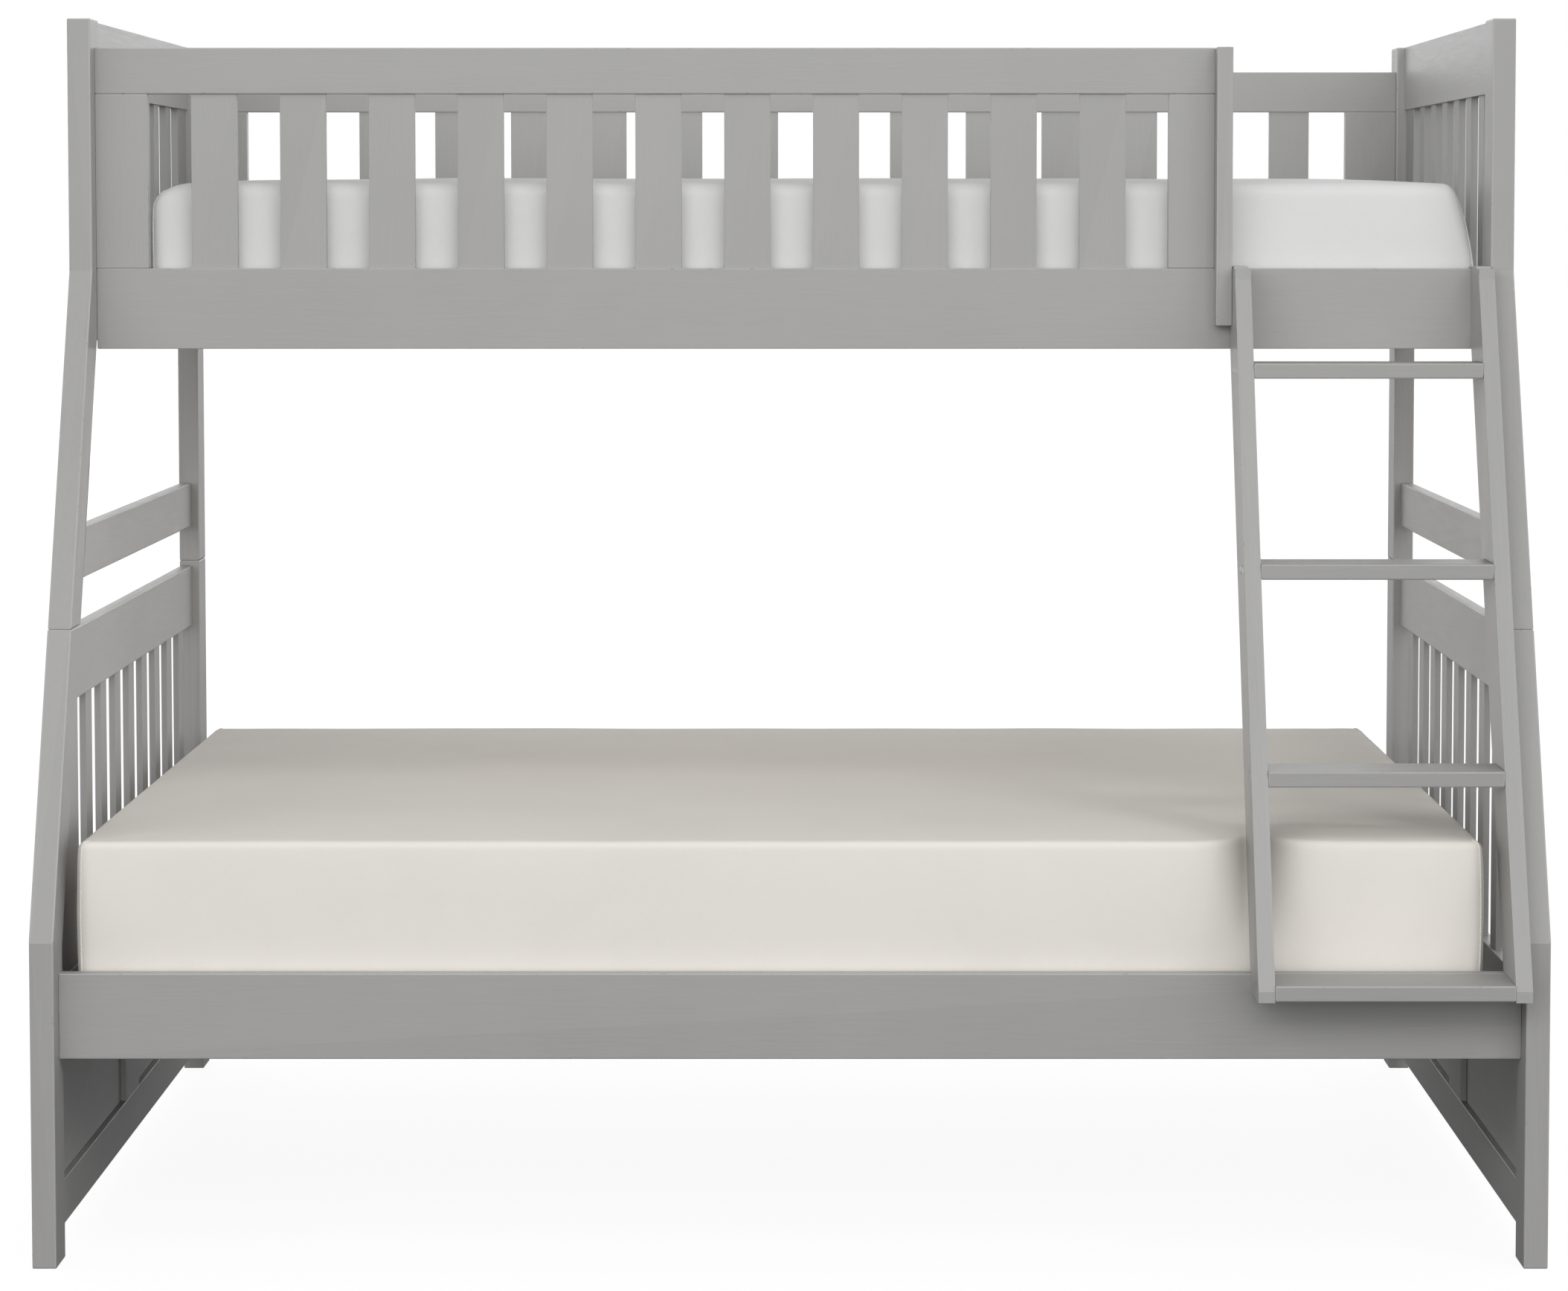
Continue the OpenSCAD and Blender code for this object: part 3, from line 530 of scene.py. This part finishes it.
def mattress(name, node, body, cover, radii, crown, seed, end_round=0.0, slump=0.0, dent=None):
    """A sheeted mattress in the CAD solid's place.

    radii are those of the upright corners and of the long and the short edges. end_round rounds the
    left end's top, slump draws the right end's top in above the front rail, and dent is the board
    that presses into the front.
    """
    lo, hi = (np.array(c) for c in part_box(node))
    size = hi - lo
    close = dent_lines(dent, lo[0]) if dent else ()
    xs = lines(size[0], LATTICE_STEP, close)
    ys, zs = (lines(length, LATTICE_STEP) for length in size[1:])
    p, quads = box_surface(xs, ys, zs)
    p, out = round_over(p, size, *radii)
    if end_round:
        near = np.clip(1 - p[:, 0] / end_round, 0, 1)
        p[:, 2] *= 1 - end_round * (1 - np.sqrt(1 - near ** 2)) / size[2]
    up = p[:, 2] / size[2]
    u, v = 2 * p[:, 0] / size[0] - 1, 2 * p[:, 1] / size[1] - 1
    to_end = np.minimum(p[:, 0], size[0] - p[:, 0])
    to_front = np.minimum(p[:, 1], size[1] - p[:, 1])
    edge = np.minimum(to_end, to_front)
    to_corner = np.hypot(to_end, to_front)
    # The top is crowned, and the cover's pull leaves shallow waves on it and folds near its corners
    top = smooth((up - 0.8) / 0.2)
    inner = smooth(edge / (25 * MM))
    diagonal = np.c_[p[:, 0] * np.sign(u) - p[:, 1] * np.sign(v), p[:, 0] * 0, p[:, 2]]
    p[:, 2] -= top * crown * (1 - (1 - np.abs(u) ** 6) * (1 - np.abs(v) ** 4))
    p[:, 2] += top * inner * ripple(p, seed + 2, TOP_WAVES)
    p[:, 2] += top * inner * ripple(diagonal, seed + 4, CORNER_FOLDS) * (1 - smooth(to_corner / 0.40))
    # The sides swell at half height and stay straight at the corners
    on_side = 1 - inner
    swell = SIDE_SWELL * (np.sin(math.pi * np.clip(up, 0, 1)) - 1)
    # The sheet is gathered under the mattress, so small folds run up the sides from below
    across = np.c_[p[:, :2], np.zeros(len(p))]
    folds = ripple(across, seed, SIDE_FOLDS) * (1 - smooth(up / 0.5))
    at_corner = 1 - smooth(to_corner / 0.22)
    gathers = ripple(across, seed + 3, CORNER_GATHERS) * (1 - smooth(up / 0.6)) * at_corner
    slanted = np.c_[p[:, 0] + p[:, 1], p[:, 0] - p[:, 1], 0.7 * p[:, 2]]
    pull = ripple(slanted, seed + 1, CORNER_PULL) * (1 - smooth(to_corner / 0.35))
    p[:, :2] += out * (on_side * (swell + folds + gathers + pull))[:, None]
    if slump:
        hidden = (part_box("upper_front_rail")[1].z - lo[2]) / size[2]
        p[:, 0] -= slump * smooth((u - 0.80) / 0.20) * np.clip((up - hidden) / (1 - hidden), 0, 1)
    piece = new_mesh(name, p + lo, quads, cover)
    inflate(piece)
    if dent:
        press_board(piece, dent)
    subdivide(piece)
    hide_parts(node)
    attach(piece, body)
    return piece


def dent_lines(board, start):
    """Close lines across the dent that a board makes, measured from the mattress's end."""
    lo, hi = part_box(board)
    return np.arange(lo.x - DENT_LINES_REACH, hi.x + DENT_LINES_REACH, DENT_LINES_STEP) - start


def press_board(piece, board):
    """Pushes the mattress's front back to where an upright board leans into it."""
    lo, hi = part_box(board)
    co = coordinates(piece.data)
    front = co[:, 1].min()
    mesh = nodes[board].data
    tree = BVHTree.FromPolygons([v.co for v in mesh.vertices], [f.vertices for f in mesh.polygons])
    middle = (lo.x + hi.x) / 2
    half = (hi.x - lo.x) / 2
    heights = np.arange(co[:, 2].min() - 0.01, co[:, 2].max() + 0.02, 0.01)
    back = []
    for z in heights:
        hit = tree.ray_cast(Vector((middle, hi.y + 1, z)), Vector((0, -1, 0)))[0]
        back.append(hit.y if hit else front)
    reach = np.maximum(np.interp(co[:, 2], heights, back) + DENT_GAP - front, 0)
    beside = np.exp(-np.maximum(np.abs(co[:, 0] - middle) - half - 2 * MM, 0) / DENT_FADE)
    behind = np.clip((co[:, 1] - front) / DENT_DEPTH, 0, 1)
    co[:, 1] += reach * beside * (1 - behind) ** 2.2
    place_points(piece.data, co)


def corner_seams(name, piece, corner, body, welt):
    """A sewn welt up each of the sheet's four corners, laid on the finished cover."""
    depsgraph = bpy.context.evaluated_depsgraph_get()
    cover = BVHTree.FromObject(piece, depsgraph)
    co = coordinates(piece.data)
    lo, hi = co.min(0), co.max(0)
    points, faces = [], []
    for sx in (-1, 1):
        for sy in (-1, 1):
            out = Vector((sx, sy, 0)).normalized()
            foot = Vector(((lo[0], hi[0])[sx > 0] - sx * corner, (lo[1], hi[1])[sy > 0] - sy * corner, 0))
            bend = hi[2] - corner
            aims = [(z, 0.0) for z in np.arange(lo[2] + 8 * MM, bend, 8 * MM)]
            aims += [(bend, math.radians(a)) for a in range(0, 66, 6)]
            path = []
            for z, rise in aims:
                heading = out * math.cos(rise) + Vector((0, 0, math.sin(rise)))
                start = foot + Vector((0, 0, z)) + heading * 0.3
                hit, normal, _, _ = cover.ray_cast(start, -heading)
                if hit:
                    path.append((hit, normal))
            welt_along(path, points, faces)
    made = new_mesh(name, points, faces, welt)
    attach(made, body)


def welt_along(path, points, faces):
    """Adds a low rounded bead along a path of places and normals."""
    ring = [(math.cos(a), math.sin(a)) for a in np.linspace(0, 2 * math.pi, 8, endpoint=False)]
    first = len(points)
    for i, (place, normal) in enumerate(path):
        ahead = path[min(i + 1, len(path) - 1)][0] - path[max(i - 1, 0)][0]
        side = ahead.cross(normal).normalized()
        for c, s in ring:
            points.append(place + side * c * 1.9 * MM + normal * s * 1.1 * MM)
    n = len(ring)
    for i in range(len(path) - 1):
        for k in range(n):
            a, b = first + i * n + k, first + i * n + (k + 1) % n
            faces.append([a, b, b + n, a + n])
    faces.append([first + k for k in reversed(range(n))])
    faces.append([first + (len(path) - 1) * n + k for k in range(n)])


def make_up_beds():
    lower = mattress(
        "lower_mattress_made", "lower_mattress", "frame", cotton("cotton_lower", WARM_SHEET),
        (LOWER_CORNER, 10 * MM, 13 * MM), 9 * MM, 3, dent="ladder_side_left",
    )
    upper = mattress(
        "upper_mattress_made", "upper_mattress", "upper_mattress", cotton("cotton_upper", WHITE_SHEET),
        (UPPER_CORNER, 20 * MM, 14 * MM), 7 * MM, 8, end_round=56 * MM, slump=32 * MM,
    )
    lower_welt = stitched("welt_lower", WARM_SHEET)
    corner_seams("lower_mattress_seams", lower, LOWER_CORNER, "frame", lower_welt)
    upper_welt = stitched("welt_upper", WHITE_SHEET)
    corner_seams("upper_mattress_seams", upper, UPPER_CORNER, "upper_mattress", upper_welt)


# ---- Studio ----


def studio():
    """A pale floor under a soft sky, a soft key light from the upper right and a wide softbox in front."""
    floor = new_mesh(
        "studio_floor", [(-90, -90, 0), (90, -90, 0), (90, 90, 0), (-90, 90, 0)], [[0, 1, 2, 3]], pale_floor()
    )
    floor.visible_diffuse = False
    floor.visible_glossy = False
    sky()
    key = lamp("key", "SUN", (-1, 1, -1.7), 0.26)
    key.angle = math.radians(16)
    softbox = lamp("softbox", "AREA", (0, 3.5, -0.6), 27.0, (0, -3.3, 2.0))
    softbox.shape = "RECTANGLE"
    softbox.size = 3.6
    softbox.size_y = 1.0
    bpy.context.scene.view_settings.view_transform = "Standard"


def lamp(name, kind, heading, energy, place=(0, 0, 4)):
    data = bpy.data.lights.new(name, kind)
    data.energy = energy
    made = bpy.data.objects.new(name, data)
    made.location = place
    made.rotation_euler = Vector(heading).to_track_quat("-Z", "Y").to_euler()
    bpy.context.scene.collection.objects.link(made)
    return data


def sky():
    """White behind the bed; its light comes mostly from the front and hardly from below.

    Glossy rays also see a glow at the back, which lightens the tops of the treads.
    """
    world = bpy.data.worlds.new("studio")
    bpy.context.scene.world = world
    world.use_nodes = True
    tree = world.node_tree
    tree.nodes.clear()

    def add(kind, settings=None, feeds=()):
        made = tree.nodes.new(kind)
        for key, value in (settings or {}).items():
            setattr(made, key, value)
        for socket, value in zip(made.inputs, feeds):
            if isinstance(value, bpy.types.NodeSocket):
                tree.links.new(value, socket)
            else:
                socket.default_value = value
        return next(iter(made.outputs), None)

    def ease_in(value, start, end, low, high):
        return add("ShaderNodeMapRange", {"interpolation_type": "SMOOTHSTEP"}, (value, start, end, low, high))

    def product(first, second, plus=0.0):
        return add("ShaderNodeMath", {"operation": "MULTIPLY_ADD"}, (first, second, plus))

    heading = tree.nodes.new("ShaderNodeSeparateXYZ")
    tree.links.new(tree.nodes.new("ShaderNodeTexCoord").outputs["Generated"], heading.inputs[0])
    x, y, z = (heading.outputs[axis] for axis in "XYZ")
    sideways = add("ShaderNodeMath", {"operation": "ABSOLUTE"}, (x,))
    others = product(ease_in(sideways, 0.3, 1.0, 0.0, 0.62), 1.0, ease_in(y, 0.0, 0.9, 0.0, 0.55))
    around = product(ease_in(y, 0.0, -0.9, 0.0, 1.38), ease_in(z, 0.70, 0.10, 0.35, 1.0), others)
    path = tree.nodes.new("ShaderNodeLightPath").outputs
    shine = product(path["Is Glossy Ray"], ease_in(y, 0.2, 0.8, 0.0, 1.2))
    level = product(around, ease_in(z, -0.20, 0.05, 0.0, 1.0), ease_in(z, 0.3, 1.0, 0.0, 0.12))
    level = product(shine, ease_in(z, -0.20, 0.02, 0.0, 1.0), level)
    lit = add("ShaderNodeBackground", feeds=((0.99, 0.99, 1.0, 1), level))
    seen = add("ShaderNodeBackground", feeds=((1, 1, 1, 1), 1.0))
    shown = add("ShaderNodeMixShader", feeds=(path["Is Camera Ray"], lit, seen))
    add("ShaderNodeOutputWorld", feeds=(shown,))


def pale_floor():
    g = Graph("pale_floor")
    cloud = g.noise(g.position(), 0.6, 3.0)
    g.set(
        Base_Color=g.ramp(cloud, [(0.3, (0.12, 0.12, 0.12)), (0.7, (0.13, 0.13, 0.13))]),
        Roughness=0.8,
        Specular_IOR_Level=0.1,
        Emission_Color=(1, 1, 1, 1),
        Emission_Strength=0.92,
    )
    return g.material


# The photographer stands a little right of the bed's centre, in front of the bed's front face
STAND_RIGHT, STAND_BACK, STAND_HEIGHT = 0.044, 5.676, 1.3777
TILT_DOWN = math.radians(3.532)


def camera():
    """The photograph's view. The small shifts only centre the bed in the frame."""
    lo, _ = cad_box
    data = bpy.data.cameras.new("camera")
    data.sensor_width = 36.0
    data.lens = 101.08
    data.shift_x = -0.0251
    data.shift_y = -0.096
    made = bpy.data.objects.new("camera", data)
    made.location = (STAND_RIGHT, lo.y - STAND_BACK, STAND_HEIGHT)
    made.rotation_euler = Euler((math.pi / 2 - TILT_DOWN, 0, 0))
    bpy.context.scene.collection.objects.link(made)
    bpy.context.scene.camera = made


paint_frame()
paint_ladder()
finish_fixings()
make_up_beds()
studio()
camera()
